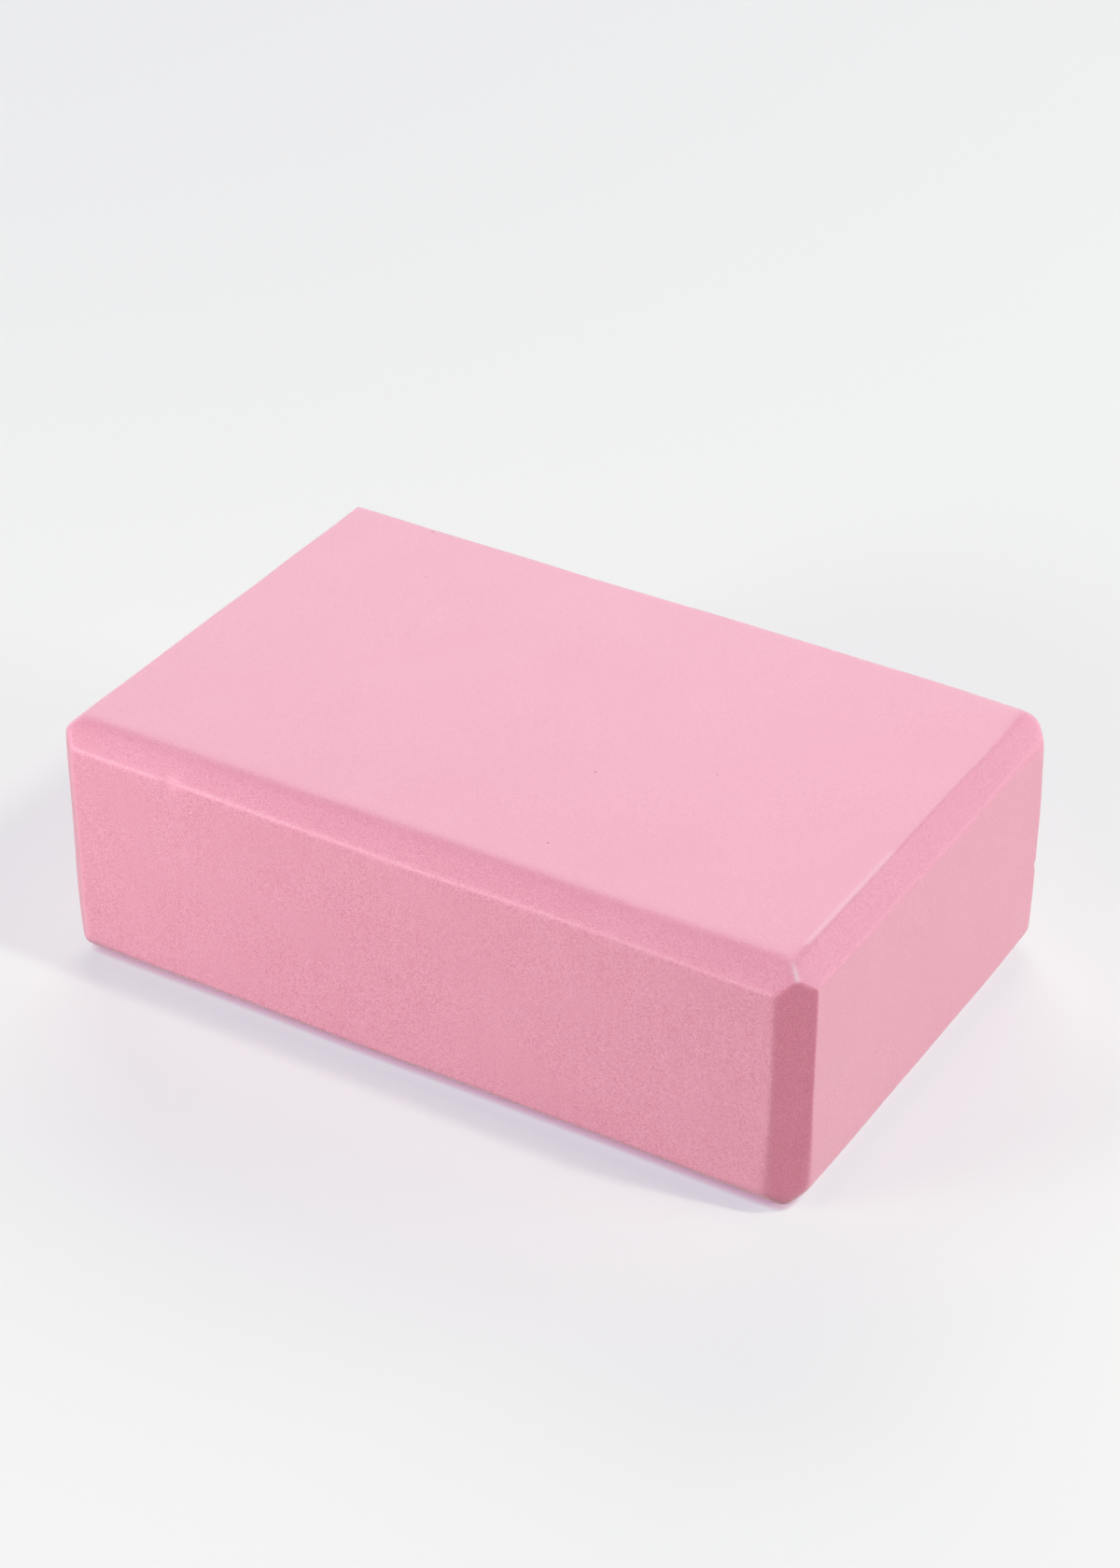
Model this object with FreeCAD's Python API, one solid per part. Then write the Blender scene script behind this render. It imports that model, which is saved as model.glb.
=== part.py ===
# Yoga block: a brick cut in one piece from a slab of firm closed-cell foam.
# Every edge is cut back by a flat 45 degree bevel, and the edges of those bevels are softly rounded.
# The block is held, stood or sat on any way round, so its top and bottom are alike.
# Frame, in millimetres: origin at the centre of the underside, +X along the length,
# +Y across the width, +Z up through the thickness.

import FreeCAD
import Part

import os

Vector = FreeCAD.Vector

# Overall size of the block
LENGTH = 225.0
WIDTH = 145.0
HEIGHT = 75.0

# Legs of the 45 degree bevels: round the top and bottom faces, and down the upright corners
FACE_BEVEL = 6.5
UPRIGHT_BEVEL = 7.8

# Rounding of every edge where a bevel meets a face or another bevel
EDGE_RADIUS = 2.0

# Roundings that meet at a corner need this length of edge between them for each unit of radius
EDGE_LENGTH_PER_RADIUS = 0.6


def bevelled_outline(across, up, leg):
    """Eight corners of a rectangle about the origin with its corners cut off at 45 degrees."""
    side = across / 2
    top = up / 2
    return [
        (leg - side, -top),
        (side - leg, -top),
        (side, leg - top),
        (side, top - leg),
        (side - leg, top),
        (leg - side, top),
        (-side, top - leg),
        (-side, leg - top),
    ]


def prism(corners, sweep):
    """Solid left by a closed outline of corners that is carried along the vector sweep."""
    outline = Part.makePolygon(corners + corners[:1])
    return Part.Face(outline).extrude(sweep)


def plan_prism():
    """The block as seen from above, with its four upright corners bevelled."""
    outline = bevelled_outline(LENGTH, WIDTH, UPRIGHT_BEVEL)
    corners = [Vector(x, y, 0) for x, y in outline]
    return prism(corners, Vector(0, 0, HEIGHT))


def long_side_prism():
    """The block as seen from a long side, with the bevels over and under its two ends."""
    outline = bevelled_outline(LENGTH, HEIGHT, FACE_BEVEL)
    corners = [Vector(x, -WIDTH / 2, HEIGHT / 2 + z) for x, z in outline]
    return prism(corners, Vector(0, WIDTH, 0))


def end_prism():
    """The block as seen from an end, with the bevels over and under its two long sides."""
    outline = bevelled_outline(WIDTH, HEIGHT, FACE_BEVEL)
    corners = [Vector(-LENGTH / 2, y, HEIGHT / 2 + z) for y, z in outline]
    return prism(corners, Vector(LENGTH, 0, 0))


def sharp_block():
    """The bevelled brick before its edges are softened: what the three outlines have in common."""
    shared = plan_prism().common(long_side_prism()).common(end_prism())
    return shared.removeSplitter().Solids[0]


def foam_block():
    """The finished brick of foam, with every edge rounded as far as the shortest edge leaves room."""
    brick = sharp_block()
    shortest_edge = min(edge.Length for edge in brick.Edges)
    radius = min(EDGE_RADIUS, shortest_edge / EDGE_LENGTH_PER_RADIUS)
    return brick.makeFillet(radius, brick.Edges)


def main():
    """Write the block's one solid and print its size."""
    os.makedirs("parts", exist_ok=True)
    block = foam_block()
    block.exportStep("parts/foam_block.step")
    box = block.BoundBox
    print(f"foam_block: {box.XLength:.2f} x {box.YLength:.2f} x {box.ZLength:.2f} mm")
    print(f"volume {block.Volume / 1000:.1f} cm3, {len(block.Solids)} solid, {len(block.Faces)} faces")


main()
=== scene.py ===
"""Yoga block: a brick of firm pink foam with bevelled, softly rounded edges, on a pale floor.

Every length is in metres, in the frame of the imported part: origin at the centre of the underside,
+X along the length, +Y across the width and away from the side that the camera sees, +Z up.
"""

import math

import bpy
import numpy as np
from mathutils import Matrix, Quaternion, Vector


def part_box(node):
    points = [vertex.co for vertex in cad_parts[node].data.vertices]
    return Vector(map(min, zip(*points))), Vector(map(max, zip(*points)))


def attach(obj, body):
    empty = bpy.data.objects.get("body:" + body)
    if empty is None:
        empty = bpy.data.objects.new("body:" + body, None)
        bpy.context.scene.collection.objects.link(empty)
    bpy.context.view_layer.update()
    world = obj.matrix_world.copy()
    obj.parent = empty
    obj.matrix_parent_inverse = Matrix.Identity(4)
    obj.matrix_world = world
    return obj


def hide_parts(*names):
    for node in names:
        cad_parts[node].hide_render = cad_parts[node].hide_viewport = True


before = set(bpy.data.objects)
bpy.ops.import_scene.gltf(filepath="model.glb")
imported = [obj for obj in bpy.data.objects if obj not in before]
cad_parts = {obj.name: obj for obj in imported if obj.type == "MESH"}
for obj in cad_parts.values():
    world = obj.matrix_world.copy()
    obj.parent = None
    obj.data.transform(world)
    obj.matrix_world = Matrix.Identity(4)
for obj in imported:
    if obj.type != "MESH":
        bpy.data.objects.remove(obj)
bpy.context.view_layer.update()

# The block's bevels, as the solid has them
FACE_BEVEL = 0.0065
UPRIGHT_BEVEL = 0.0078

# How softly the edges are rounded: the spread of the blend between faces, about a ninth of the radius
EDGE_BLEND = 0.00022
TOP_FRONT_BLEND = 0.0008
FRONT_BLEND = 0.0004
CRISP_BLEND = 0.0001
CORNER_BLEND = 0.0012
FOOT_CORNER_BLEND = 0.0008

# How far those softer and crisper roundings reach from their edge or corner
TOP_FRONT_REACH = 0.008
EDGE_REACH = 0.003
TIP_REACH = 0.0045
CORNER_REACH = 0.018

# Irregularity of the cut: how far the bevels wander, and how uneven the faces are except near the floor
BEVEL_WANDER = 0.00012
BEVEL_WANDER_WAVE = 0.045
BEVEL_WANDER_SEED = 3
UNEVENNESS = 0.00004
UNEVENNESS_WAVE = 0.03
UNEVENNESS_SEED = 5
FLAT_FOOT = 0.01

# Each irregularity is a sum of this many waves, between these shares of its wavelength
WAVES = 12
SHORTEST_WAVE = 0.7
LONGEST_WAVE = 1.6

# A nick in the upright edge at the back of the right end, and a scuff on the front bevel's lower edge
NICK_HEIGHT = 0.0285
NICK_DEPTH = 0.0007
NICK_REACH = 0.0009
SCUFF_PLACE = -0.073
SCUFF_DEPTH = 0.0005
SCUFF_REACH = 0.0022

# Painted highlights: a glint on the ridge at the front right corner, and from that corner a fainter pale line
# along the top
RIDGE_LENGTH = 0.0055
RIDGE_GLINT_STRENGTH = 0.8
GLINT_LINE_START = (-0.0009, 0.009, 0)
GLINT_LINE_END = (-0.0009, 0.052, 0)
GLINT_LINE_STRENGTH = 0.24
GLINT_REACH = 0.0007

# Mesh lines: close together over the bevels, the nick and the scuff, wider over the faces
FINE_STEP = 0.0004
FINE_REACH = 0.0105
COARSE_STEP = 0.0035
COARSE_REACH = 0.03
LINE_TRIALS = 4001

# The surface is searched for by halving, from a core inside the block to a little beyond its box
CORE_DEPTH = 0.014
SEARCH_END = 1.05
SEARCH_STEPS = 30

# Rows of the bevels among the six planes that bound each eighth of the block
END_BEVEL, SIDE_BEVEL, CORNER_BEVEL = 3, 4, 5

# Foam colours: the shades that the grain goes between, and the pale pink of the painted highlights
DEEP_PINK = (0.814, 0.292, 0.420)
PALE_PINK = (0.894, 0.386, 0.524)
GLINT_PINK = (0.98, 0.80, 0.87)

# Painted shade: darker tints laid on the ends' bevels, the front right upright bevel and the front's lower
# bevel, standing in for shade that falls on them
END_BEVEL_SHADE = (0.92, 0.93, 0.94)
UPRIGHT_SHADE = (0.97, 0.69, 0.78)
FOOT_SHADE = (0.6, 0.42, 0.6)

# Sizes of the foam's grain, cells, cloudy and broad shades, saw lines and open pores
GRAIN_SIZE = 0.00033
CELL_SIZE = 0.0011
CLOUD_SIZE = 0.018
BROAD_SIZE = 0.09
SAW_LINE_SIZE = 0.0016
PORE_SPACING = 0.016
PORE_RADIUS = 0.00035

# How much stronger the grain is on the sides than on the top
SIDE_GRAIN = 2.2

# A saw line's width as a share of its length, and the share of a pore's radius that is open to the full
SAW_LINE_STRETCH = 0.04
PORE_CORE = 0.5

# How much these and the rounded edges lighten the foam, or darken it where the value is below zero
GRAIN_SHADE = 2.2
CLOUD_SHADE = 0.4
BROAD_SHADE = 0.4
SAW_LINE_SHADE = 0.25
# Paler edges: partly wear, partly a painted highlight along them
EDGE_WEAR_AND_HIGHLIGHT = 0.1
# Pores: darkened in colour, a painted shade in the pits
PORE_PAINTED_SHADE = -1.5

# The foam's roughness, and what clouds, grain, rounded edges and the front's lower bevel add to it
FOAM_ROUGHNESS = 0.5
CLOUD_ROUGHNESS = 0.1
GRAIN_ROUGHNESS = 0.1
EDGE_ROUGHNESS = -0.2
FOOT_ROUGHNESS = 0.5

# Heights of the bump, and how much it fades on the rounded edges
GRAIN_HEIGHT = 0.00006
CELL_HEIGHT = 0.00003
SAW_LINE_HEIGHT = 0.00003
PORE_HEIGHT = -0.0003
EDGE_BUMP = -1.2

# The foam's shine
SPECULAR = 0.35
SHEEN = 0.53
SHEEN_ROUGHNESS = 0.5

# The floor: its own colour, its glow in the open, and a dim pink glow within a short reach of the block, a
# painted contact shadow with painted pink bounce light
FLOOR_SIZE = 12.0
FLOOR_COLOUR = (0.42, 0.45, 0.34)
FLOOR_ROUGHNESS = 0.9
OPEN_GLOW = (0.50, 0.48, 0.58)
CONTACT_SHADOW_GLOW = (0.33, 0.08, 0.26)
COVER_REACH = 0.002
COVER_SAMPLES = 8

# Far from the lamps the floor only glows, as pale as the surroundings behind it
FAR_START = 0.75
FAR_END = 1.3
FAR_FLOOR = (0.0, 0.0, 0.0)
PALE = (0.87, 0.88, 0.88)

# Lamps: azimuth and elevation in degrees, distance, width and height, and level. All are aimed at one place
LAMPS = {
    "key": (94.3, 53.5, 1.6, (0.09, 0.25), 0.365),
    "front_left": (-36, 16, 1.25, (0.5, 0.4), 0.57),
    "far_left": (-60, 14, 1.6, (0.7, 0.5), 0.18),
    "front_low": (-15, 6, 1.5, (1.0, 0.3), 0.22),
    "right": (108, 14, 1.8, (0.9, 0.5), 0.50),
    "right_back": (138, 14, 1.8, (0.9, 0.5), 0.20),
    "back": (210, 33, 3.0, (2.1, 1.35), 0.50),
}
LAMP_TARGET = Vector((0, 0, 0.04))

# Camera, solved from the block's edges in the photograph
CAMERA_TARGET = Vector((-0.01043, 0.02013, 0.0375))
CAMERA_DISTANCE = 0.99555
CAMERA_AZIMUTH = 30.940
CAMERA_ELEVATION = 33.357
CAMERA_ROLL = 0.146
CAMERA_LENS = 83.442
CAMERA_SENSOR = 36.0


def waves(points, wavelength, seed):
    """Smooth wandering value of about unit size: a sum of plane waves in fixed random directions."""
    rng = np.random.default_rng(seed)
    total = np.zeros(len(points))
    for _ in range(WAVES):
        direction = rng.normal(size=3)
        length = wavelength * rng.uniform(SHORTEST_WAVE, LONGEST_WAVE)
        direction *= 2 * math.pi / (length * np.linalg.norm(direction))
        total += np.sin(points @ direction + rng.uniform(0, 2 * math.pi))
    return total * math.sqrt(2 / WAVES)


def outside_faces(points, half):
    """Distance of each point outside the six planes that bound its eighth of the block, a row per plane."""
    along, across, up = np.abs(points).T
    end, side, top = half
    wander = BEVEL_WANDER * waves(points, BEVEL_WANDER_WAVE, BEVEL_WANDER_SEED)
    face_bevel = FACE_BEVEL + wander
    upright_bevel = UPRIGHT_BEVEL - wander
    above_foot = np.clip((points[:, 2] + top) / FLAT_FOOT, 0, 1)
    uneven = UNEVENNESS * above_foot * waves(points, UNEVENNESS_WAVE, UNEVENNESS_SEED)
    return uneven + np.stack([
        along - end,
        across - side,
        up - top,
        (along + up - end - top + face_bevel) / math.sqrt(2),
        (across + up - side - top + face_bevel) / math.sqrt(2),
        (along + across - end - side + upright_bevel) / math.sqrt(2),
    ])


def edge_blend(points, half):
    """Spread of the rounding at each point, which is softer or crisper near some edges and corners."""
    end, side, top = half
    tip = UPRIGHT_BEVEL / 2
    front_right_tip = (end - tip, tip - side, top - FACE_BEVEL + tip)
    foot_corners = [(x, y, -top) for x in (end, -end) for y in (side, -side)]
    places = [
        ((1, 2), (FACE_BEVEL - side, top), TOP_FRONT_BLEND, TOP_FRONT_REACH),
        ((1, 2), (-side, top - FACE_BEVEL), FRONT_BLEND, EDGE_REACH),
        ((0, 1), (end, UPRIGHT_BEVEL - side), CRISP_BLEND, EDGE_REACH),
        ((0, 1, 2), front_right_tip, EDGE_BLEND, TIP_REACH),
        ((0, 1, 2), (end, side, top), CORNER_BLEND, CORNER_REACH),
    ]
    places += [((0, 1, 2), corner, FOOT_CORNER_BLEND, CORNER_REACH) for corner in foot_corners]
    blend = np.full(len(points), EDGE_BLEND)
    for axes, place, softness, reach in places:
        away = np.linalg.norm(points[:, axes] - np.array(place), axis=1)
        blend += (softness - blend) * np.exp(-((away / reach) ** 2))
    return blend


def dents(points, half):
    """How deep the nick and the scuff press the surface in at each point."""
    end, side, top = half
    nick = (end, side - UPRIGHT_BEVEL, NICK_HEIGHT - top)
    scuff = (SCUFF_PLACE, -side, top - FACE_BEVEL)
    depth = np.zeros(len(points))
    for place, deepest, reach in ((nick, NICK_DEPTH, NICK_REACH), (scuff, SCUFF_DEPTH, SCUFF_REACH)):
        away = np.linalg.norm(points - np.array(place), axis=1)
        depth += deepest * np.exp(-((away / reach) ** 2))
    return depth


def outside_block(points, half):
    """Distance of each point outside the rounded block, and each plane's share in the surface there."""
    planes = outside_faces(points, half)
    blend = edge_blend(points, half)
    nearest = planes.max(axis=0)
    shares = np.exp((planes - nearest) / blend)
    total = shares.sum(axis=0)
    return nearest + blend * np.log(total) + dents(points, half), shares / total


def painted_glints(points, half):
    """How strongly the painted highlight lies at each point, on the front right ridge and along the top's
    edge behind it.
    """
    end, side, top = half
    corner = np.array([end - FACE_BEVEL, FACE_BEVEL - side, top])
    down_ridge = np.array([1, -1, -1]) / math.sqrt(3)
    lines = (
        (corner, corner + RIDGE_LENGTH * down_ridge, RIDGE_GLINT_STRENGTH),
        (corner + np.array(GLINT_LINE_START), corner + np.array(GLINT_LINE_END), GLINT_LINE_STRENGTH),
    )
    glint = np.zeros(len(points))
    for start, finish, strength in lines:
        line = finish - start
        along = np.clip((points - start) @ line / (line @ line), 0, 1)
        away = np.linalg.norm(points - start - along[:, None] * line, axis=1)
        glint = np.maximum(glint, strength * np.exp(-((away / GLINT_REACH) ** 2)))
    return glint


def line_places(half, detail):
    """Places of the mesh lines in one direction, close together at the block's ends and at a detail."""
    places = np.linspace(-half, half, LINE_TRIALS)
    away = np.minimum(half - np.abs(places), np.abs(places - detail) + FINE_REACH / 2)
    grow = np.clip((away - FINE_REACH) / (COARSE_REACH - FINE_REACH), 0, 1)
    step = FINE_STEP + (COARSE_STEP - FINE_STEP) * grow
    lines = np.concatenate([[0], np.cumsum(np.diff(places) * 2 / (step[1:] + step[:-1]))])
    return np.interp(np.linspace(0, lines[-1], round(lines[-1]) + 1), lines, places)


def lattice_quads(counts):
    """Outward-facing quads over the sides of a box of lattice points, each corner as its three indices."""
    sides = []
    for axis in range(3):
        across, up = (axis + 1) % 3, (axis + 2) % 3
        steps = np.meshgrid(np.arange(counts[across] - 1), np.arange(counts[up] - 1), indexing="ij")
        for end in (0, counts[axis] - 1):
            corners = np.full(steps[0].shape + (4, 3), end)
            for corner, (i, j) in enumerate(((0, 0), (1, 0), (1, 1), (0, 1))):
                corners[..., corner, across] = steps[0] + i
                corners[..., corner, up] = steps[1] + j
            sides.append(corners.reshape(-1, 4, 3)[:, ::1 if end else -1])
    return np.concatenate(sides)


def block_surface(half):
    """Points of the block's surface about its centre, its quads, and each plane's share at each point."""
    details = (SCUFF_PLACE, half[1], NICK_HEIGHT - half[2])
    places = [line_places(size, detail) for size, detail in zip(half, details)]
    quads = lattice_quads([len(line) for line in places])
    lattice, corners = np.unique(quads.reshape(-1, 3), axis=0, return_inverse=True)
    box = np.stack([line[lattice[:, axis]] for axis, line in enumerate(places)], axis=1)
    core = np.clip(box, CORE_DEPTH - half, half - CORE_DEPTH)
    low, high = np.zeros(len(box)), np.full(len(box), SEARCH_END)
    for _ in range(SEARCH_STEPS):
        middle = (low + high) / 2
        outside, _ = outside_block(core + middle[:, None] * (box - core), half)
        low = np.where(outside < 0, middle, low)
        high = np.where(outside < 0, high, middle)
    points = core + low[:, None] * (box - core)
    return points, corners.reshape(-1, 4), outside_block(points, half)[1]


def build_block(material):
    """The foam block as one closed, smooth-shaded mesh in place of its solid, with marks for its material."""
    low, high = (np.array(corner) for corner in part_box("foam_block"))
    half = (high - low) / 2
    points, quads, shares = block_surface(half)
    front_right = (points[:, 1] < 0) & (points[:, 0] > 0)
    front_low = (points[:, 1] < 0) & (points[:, 2] < 0)
    # Besides the edges, the marks hold where painted shade lies on three bevels
    marks = {
        "edge": 1 - shares.max(axis=0),
        "shaded_end_bevel": shares[END_BEVEL],
        "upright": shares[CORNER_BEVEL] * front_right,
        "shaded_foot": shares[SIDE_BEVEL] * front_low,
        "glint": painted_glints(points, half),
    # Where the painted highlights lie
    }
    mesh = bpy.data.meshes.new("foam_block_surface")
    mesh.from_pydata((points + (high + low) / 2).tolist(), [], quads.tolist())
    mesh.shade_smooth()
    for name, values in marks.items():
        mesh.attributes.new(name, "FLOAT", "POINT").data.foreach_set("value", values.astype(np.float32))
    mesh.materials.append(material)
    block = bpy.data.objects.new("foam_block_visual", mesh)
    bpy.context.scene.collection.objects.link(block)
    return block


def feed(tree, socket, value):
    """Link a node's input to another node's output, or give it a plain value."""
    if isinstance(value, bpy.types.NodeSocket):
        tree.links.new(value, socket)
    else:
        socket.default_value = value


def add_node(tree, kind, **values):
    """New shader node with some of its inputs fed, named by their labels in small letters."""
    node = tree.nodes.new(kind)
    for name, value in values.items():
        feed(tree, node.inputs[name.replace("_", " ").title()], value)
    return node


def calculate(tree, operation, *values):
    """Result of a Math node that is fed those values."""
    node = tree.nodes.new("ShaderNodeMath")
    node.operation = operation
    for socket, value in zip(node.inputs, values):
        feed(tree, socket, value)
    return node.outputs[0]


def calculate_vector(tree, operation, *values):
    """Vector Math node that is fed those values."""
    node = tree.nodes.new("ShaderNodeVectorMath")
    node.operation = operation
    for socket, value in zip(node.inputs, values):
        feed(tree, socket, value)
    return node


def weigh(tree, middle, *parts):
    """A middle value plus each part's distance from its own middle, times its weight."""
    total = middle - sum(own_middle * weight for _, own_middle, weight in parts)
    for value, _, weight in parts:
        total = calculate(tree, "MULTIPLY_ADD", value, weight, total)
    return total


def strengthen(tree, value, strength):
    """A value about one half, with its distance from one half times a strength."""
    centred = calculate(tree, "SUBTRACT", value, 0.5)
    return calculate(tree, "MULTIPLY_ADD", centred, strength, 0.5)


def fade(tree, value, start, finish):
    """Smooth rise from 0 where the value is at the start to 1 where it is at the finish."""
    node = tree.nodes.new("ShaderNodeMapRange")
    node.interpolation_type = "SMOOTHSTEP"
    feed(tree, node.inputs["Value"], value)
    feed(tree, node.inputs["From Min"], start)
    feed(tree, node.inputs["From Max"], finish)
    return node.outputs["Result"]


def mix_colours(tree, blend_type, factor, first, second):
    """Colour between two colours, or one colour tinted by another."""
    node = tree.nodes.new("ShaderNodeMix")
    node.data_type = "RGBA"
    node.blend_type = blend_type
    node.clamp_factor = False
    colours = [socket for socket in node.inputs if socket.type == "RGBA"]
    feed(tree, node.inputs["Factor"], factor)
    feed(tree, colours[0], first)
    feed(tree, colours[1], second)
    return next(socket for socket in node.outputs if socket.type == "RGBA")


def noise(tree, place, size, detail):
    """Smooth random value about one half, with features of about that size."""
    return add_node(tree, "ShaderNodeTexNoise", vector=place, scale=1 / size, detail=detail).outputs["Fac"]


def cell_distance(tree, place, spacing):
    """Distance from the middle of the nearest of many scattered cells, as a share of their spacing."""
    return add_node(tree, "ShaderNodeTexVoronoi", vector=place, scale=1 / spacing).outputs["Distance"]


def attribute(tree, name):
    """Value that the mesh holds at its points."""
    node = tree.nodes.new("ShaderNodeAttribute")
    node.attribute_name = name
    return node.outputs["Fac"]


def steepness(tree):
    """1 on the upright sides, 0 on the top and underside."""
    normal = tree.nodes.new("ShaderNodeNewGeometry").outputs["Normal"]
    upwards = add_node(tree, "ShaderNodeSeparateXYZ", vector=normal).outputs["Z"]
    squared = calculate(tree, "MULTIPLY", upwards, upwards)
    return calculate(tree, "SQRT", calculate(tree, "SUBTRACT", 1.0, squared))


def saw_lines(tree, place, sides):
    """Fine upright lines on the sides, about one half, and none on the top and underside."""
    stretched = calculate_vector(tree, "MULTIPLY", place, (1, 1, SAW_LINE_STRETCH))
    lines = noise(tree, stretched.outputs["Vector"], SAW_LINE_SIZE, detail=2)
    return strengthen(tree, lines, sides)


def open_pores(tree, place):
    """Few and tiny open cells: 1 inside a pore, 0 on the closed skin."""
    rim = PORE_RADIUS / PORE_SPACING
    outside = fade(tree, cell_distance(tree, place, PORE_SPACING), PORE_CORE * rim, rim)
    return calculate(tree, "SUBTRACT", 1.0, outside)


def foam_material():
    """Firm closed-cell foam: fine grain, faint clouds, saw lines, pores in painted shade, edges paler from
    wear and painted highlight, painted shade on some bevels and painted glints at one corner.
    """
    material = bpy.data.materials.new("pink_foam")
    material.use_nodes = True
    tree = material.node_tree
    place = tree.nodes.new("ShaderNodeTexCoord").outputs["Object"]
    sides = steepness(tree)
    grain = noise(tree, place, GRAIN_SIZE, detail=1)
    cut_grain = strengthen(tree, grain, calculate(tree, "MULTIPLY_ADD", sides, SIDE_GRAIN - 1, 1.0))
    clouds = noise(tree, place, CLOUD_SIZE, detail=2)
    broad = noise(tree, place, BROAD_SIZE, detail=1)
    cells = cell_distance(tree, place, CELL_SIZE)
    lines = saw_lines(tree, place, sides)
    pores = open_pores(tree, place)
    edge = attribute(tree, "edge")
    shaded_foot = attribute(tree, "shaded_foot")

    shade = weigh(tree, 0.5, (cut_grain, 0.5, GRAIN_SHADE), (clouds, 0.5, CLOUD_SHADE),
                  (broad, 0.5, BROAD_SHADE), (lines, 0.5, SAW_LINE_SHADE), (edge, 0, EDGE_WEAR_AND_HIGHLIGHT),
                  (pores, 0, PORE_PAINTED_SHADE))
    colour = mix_colours(tree, "MIX", shade, (*DEEP_PINK, 1), (*PALE_PINK, 1))
    # Painted shade: the ends' bevels, the front right upright bevel and the front's lower bevel are darkened
    # in colour
    colour = mix_colours(tree, "MULTIPLY", attribute(tree, "shaded_end_bevel"), colour, (*END_BEVEL_SHADE, 1))
    colour = mix_colours(tree, "MULTIPLY", attribute(tree, "upright"), colour, (*UPRIGHT_SHADE, 1))
    colour = mix_colours(tree, "MULTIPLY", shaded_foot, colour, (*FOOT_SHADE, 1))
    # Painted highlight: the glint on the front right ridge and the pale line along the top's edge
    colour = mix_colours(tree, "MIX", attribute(tree, "glint"), colour, (*GLINT_PINK, 1))
    roughness = weigh(tree, FOAM_ROUGHNESS, (clouds, 0.5, CLOUD_ROUGHNESS), (grain, 0.5, GRAIN_ROUGHNESS),
                      (edge, 0, EDGE_ROUGHNESS), (shaded_foot, 0, FOOT_ROUGHNESS))
    height = weigh(tree, 0.0, (cut_grain, 0.5, GRAIN_HEIGHT), (cells, 0.5, CELL_HEIGHT),
                   (lines, 0.5, SAW_LINE_HEIGHT), (pores, 0, PORE_HEIGHT))
    smooth_edge = weigh(tree, 1.0, (edge, 0, EDGE_BUMP))
    bump = add_node(tree, "ShaderNodeBump", height=height, distance=1.0, strength=smooth_edge)

    shader = tree.nodes["Principled BSDF"]
    feed(tree, shader.inputs["Base Color"], colour)
    feed(tree, shader.inputs["Roughness"], roughness)
    feed(tree, shader.inputs["Normal"], bump.outputs["Normal"])
    shader.inputs["Specular IOR Level"].default_value = SPECULAR
    shader.inputs["Sheen Weight"].default_value = SHEEN
    shader.inputs["Sheen Roughness"].default_value = SHEEN_ROUGHNESS
    return material


def seen_directly(tree):
    """1 where the camera sees, also mirrored or through glass, and 0 for light that falls on things."""
    path = tree.nodes.new("ShaderNodeLightPath")
    seen = calculate(tree, "MAXIMUM", path.outputs["Is Camera Ray"], path.outputs["Is Glossy Ray"])
    return calculate(tree, "MAXIMUM", seen, path.outputs["Is Transmission Ray"])


def floor_material():
    """Matte floor that shows pale and keeps shadows, with a painted pink contact shadow near the block, and
    throws little light.
    """
    material = bpy.data.materials.new("pale_floor")
    material.use_nodes = True
    tree = material.node_tree
    place = tree.nodes.new("ShaderNodeNewGeometry").outputs["Position"]
    away = calculate_vector(tree, "LENGTH", place).outputs["Value"]
    far = fade(tree, away, FAR_START, FAR_END)
    colour = mix_colours(tree, "MIX", far, (*FLOOR_COLOUR, 1), (*FAR_FLOOR, 1))
    # Painted contact shadow: the glow turns dim pink where the block shuts out the surroundings
    contact_shadow = add_node(tree, "ShaderNodeAmbientOcclusion", distance=COVER_REACH)
    contact_shadow.samples = COVER_SAMPLES
    glow = mix_colours(tree, "MIX", contact_shadow.outputs["AO"], (*CONTACT_SHADOW_GLOW, 1), (*OPEN_GLOW, 1))
    glow = mix_colours(tree, "MIX", far, glow, (*PALE, 1))

    shader = tree.nodes["Principled BSDF"]
    feed(tree, shader.inputs["Base Color"], colour)
    feed(tree, shader.inputs["Emission Color"], glow)
    feed(tree, shader.inputs["Emission Strength"], seen_directly(tree))
    shader.inputs["Roughness"].default_value = FLOOR_ROUGHNESS
    shader.inputs["Specular IOR Level"].default_value = 0.0
    return material


def add_floor():
    """Wide pale floor under the block."""
    reach = FLOOR_SIZE / 2
    mesh = bpy.data.meshes.new("floor")
    corners = [(-reach, -reach, 0), (reach, -reach, 0), (reach, reach, 0), (-reach, reach, 0)]
    mesh.from_pydata(corners, [], [(0, 1, 2, 3)])
    mesh.materials.append(floor_material())
    floor = bpy.data.objects.new("floor", mesh)
    bpy.context.scene.collection.objects.link(floor)


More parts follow.
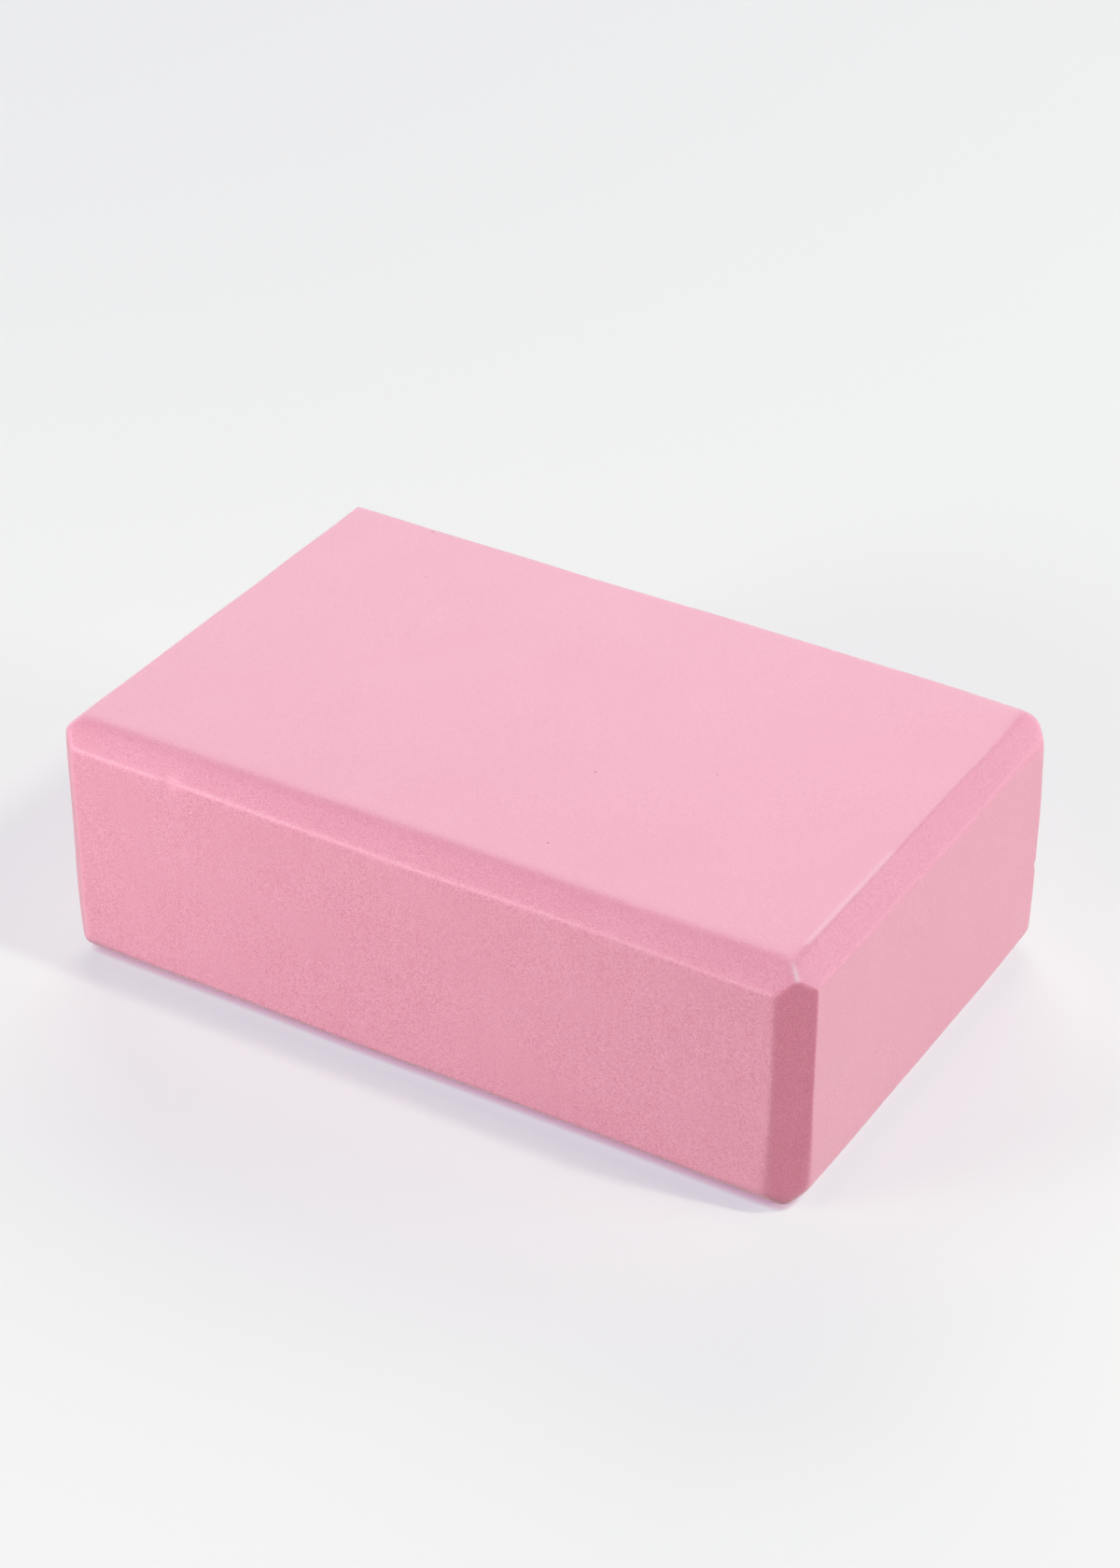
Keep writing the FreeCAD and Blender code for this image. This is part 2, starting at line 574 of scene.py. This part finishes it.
def direction(azimuth, elevation):
    """Unit vector towards a place at that azimuth, turned from -Y towards +X, and elevation, in degrees."""
    turn, lift = math.radians(azimuth), math.radians(elevation)
    return Vector((math.sin(turn) * math.cos(lift), -math.cos(turn) * math.cos(lift), math.sin(lift)))


def add_light(name, azimuth, elevation, distance, size, level):
    """Rectangular lamp aimed at the block. A white surface that faces it renders at about that level."""
    lamp = bpy.data.lights.new(name, "AREA")
    lamp.shape = "RECTANGLE"
    lamp.size, lamp.size_y = size
    lamp.energy = level * (math.pi * distance) ** 2
    holder = bpy.data.objects.new(name, lamp)
    towards = direction(azimuth, elevation)
    holder.location = LAMP_TARGET + towards * distance
    holder.rotation_mode = "QUATERNION"
    holder.rotation_quaternion = towards.to_track_quat("Z", "Y")
    bpy.context.scene.collection.objects.link(holder)


def add_lights():
    """Soft studio light: a small lamp high on the right that draws the shadow, and large ones all round."""
    for name, lamp in LAMPS.items():
        add_light(name, *lamp)


def set_world():
    """Pale surroundings that are seen, and leave the lighting to the lamps."""
    world = bpy.data.worlds.new("surroundings")
    world.use_nodes = True
    tree = world.node_tree
    background = tree.nodes["Background"]
    background.inputs["Color"].default_value = (*PALE, 1)
    feed(tree, background.inputs["Strength"], seen_directly(tree))
    bpy.context.scene.world = world


def add_camera():
    """Camera at the photograph's viewing angle."""
    lens = bpy.data.cameras.new("camera")
    lens.lens = CAMERA_LENS
    lens.sensor_width = CAMERA_SENSOR
    camera = bpy.data.objects.new("camera", lens)
    back = direction(CAMERA_AZIMUTH, CAMERA_ELEVATION)
    roll = Quaternion((0, 0, 1), math.radians(CAMERA_ROLL))
    camera.location = CAMERA_TARGET + back * CAMERA_DISTANCE
    camera.rotation_mode = "QUATERNION"
    camera.rotation_quaternion = (-back).to_track_quat("-Z", "Y") @ roll
    bpy.context.scene.collection.objects.link(camera)
    bpy.context.scene.camera = camera


def main():
    """Build the block and its stage."""
    block = build_block(foam_material())
    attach(block, "root")
    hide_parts("foam_block")
    add_floor()
    add_lights()
    set_world()
    add_camera()
    bpy.context.scene.view_settings.view_transform = "Standard"


main()
